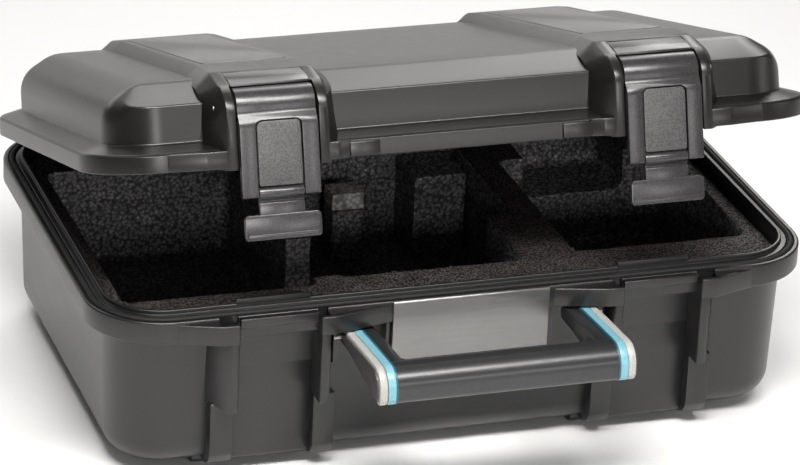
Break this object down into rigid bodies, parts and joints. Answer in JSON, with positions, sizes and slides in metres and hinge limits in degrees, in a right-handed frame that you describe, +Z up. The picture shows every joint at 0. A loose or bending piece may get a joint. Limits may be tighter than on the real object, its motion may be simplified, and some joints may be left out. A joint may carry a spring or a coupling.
{
  "type": "hard carrying case",
  "caption": "Hard moulded carrying case for a small drone, with a hinged lid, draw latches, fold-down handle and cut foam inside, lid part open.",
  "frame": {"origin": "on the ground under the centre of the bounding box, lid part open and handle swung out", "axes": "+X along the case to the viewer's right, -Y the latch and handle side, +Z up"},
  "size_m": [0.502, 0.4228, 0.2664],
  "materials": {
    "shell_plastic": "moulded, fine satin grain",
    "trim_plastic": "fine grain",
    "gasket_rubber": "matte",
    "foam_black": "open-cell foam, speckled",
    "foam_pale": "open-cell foam",
    "pin_steel": "plain",
    "label_satin": "satin",
    "grip_plastic": "satin",
    "stripe_blue": "satin",
    "cap_white": "satin"
  },
  "bodies": {
    "base": {"base_shell": "shell_plastic", "rim_gasket": "gasket_rubber", "label_plate": "label_satin", "base_foam": "foam_black", "foam_post_left": "foam_black", "foam_post_middle": "foam_black", "foam_rest_middle": "foam_black", "foam_post_back": "foam_black", "foam_pale_block": "foam_pale", "hinge_pin_l": "pin_steel", "hinge_pin_r": "pin_steel", "fin_pin_l": "pin_steel", "fin_pin_r": "pin_steel"},
    "lid": {"lid_shell": "shell_plastic", "lid_foam": "foam_black", "band_plate_l": "trim_plastic", "latch_cover_l": "trim_plastic", "latch_pin_l": "pin_steel", "band_plate_r": "trim_plastic", "latch_cover_r": "trim_plastic", "latch_pin_r": "pin_steel"},
    "handle": {"handle_grip": "grip_plastic", "handle_stripe_l": "stripe_blue", "handle_cap_l": "cap_white", "handle_side_l": "grip_plastic", "handle_pin_l": "pin_steel", "handle_stripe_r": "stripe_blue", "handle_cap_r": "cap_white", "handle_side_r": "grip_plastic", "handle_pin_r": "pin_steel"},
    "latch_l": {"latch_arm_l": "trim_plastic", "lever_pin_l": "pin_steel"},
    "button_l": {"latch_button_l": "trim_plastic"},
    "lever_l": {"latch_lever_l": "trim_plastic"},
    "latch_r": {"latch_arm_r": "trim_plastic", "lever_pin_r": "pin_steel"},
    "button_r": {"latch_button_r": "trim_plastic"},
    "lever_r": {"latch_lever_r": "trim_plastic"}
  },
  "joints": [
    {"name": "lid_hinge", "type": "hinge", "parent": "base", "child": "lid", "pos_m": [0, 0.2029, 0.1152], "axis": [-1, 0, 0], "range_deg": [-16.8, 78]},
    {"name": "handle_hinge", "type": "hinge", "parent": "base", "child": "handle", "pos_m": [0, -0.1284, 0.096], "axis": [1, 0, 0], "range_deg": [0, 80]},
    {"name": "latch_l_hinge", "type": "hinge", "parent": "lid", "child": "latch_l", "pos_m": [-0.132, -0.09873, 0.25202], "axis": [-1, 0, 0], "range_deg": [0, 100]},
    {"name": "button_l_press", "type": "slide", "parent": "latch_l", "child": "button_l", "axis": [0, 0.9573, -0.289], "range_m": [0, 0.0015], "stiffness_N_per_m": 600, "springref_m": -0.002},
    {"name": "lever_l_hinge", "type": "hinge", "parent": "latch_l", "child": "lever_l", "pos_m": [-0.132, -0.12674, 0.20282], "axis": [-1, 0, 0], "range_deg": [0, 95]},
    {"name": "latch_r_hinge", "type": "hinge", "parent": "lid", "child": "latch_r", "pos_m": [0.132, -0.09873, 0.25202], "axis": [-1, 0, 0], "range_deg": [0, 100]},
    {"name": "button_r_press", "type": "slide", "parent": "latch_r", "child": "button_r", "axis": [0, 0.9573, -0.289], "range_m": [0, 0.0015], "stiffness_N_per_m": 600, "springref_m": -0.002},
    {"name": "lever_r_hinge", "type": "hinge", "parent": "latch_r", "child": "lever_r", "pos_m": [0.132, -0.12674, 0.20282], "axis": [-1, 0, 0], "range_deg": [0, 95]}
  ]
}
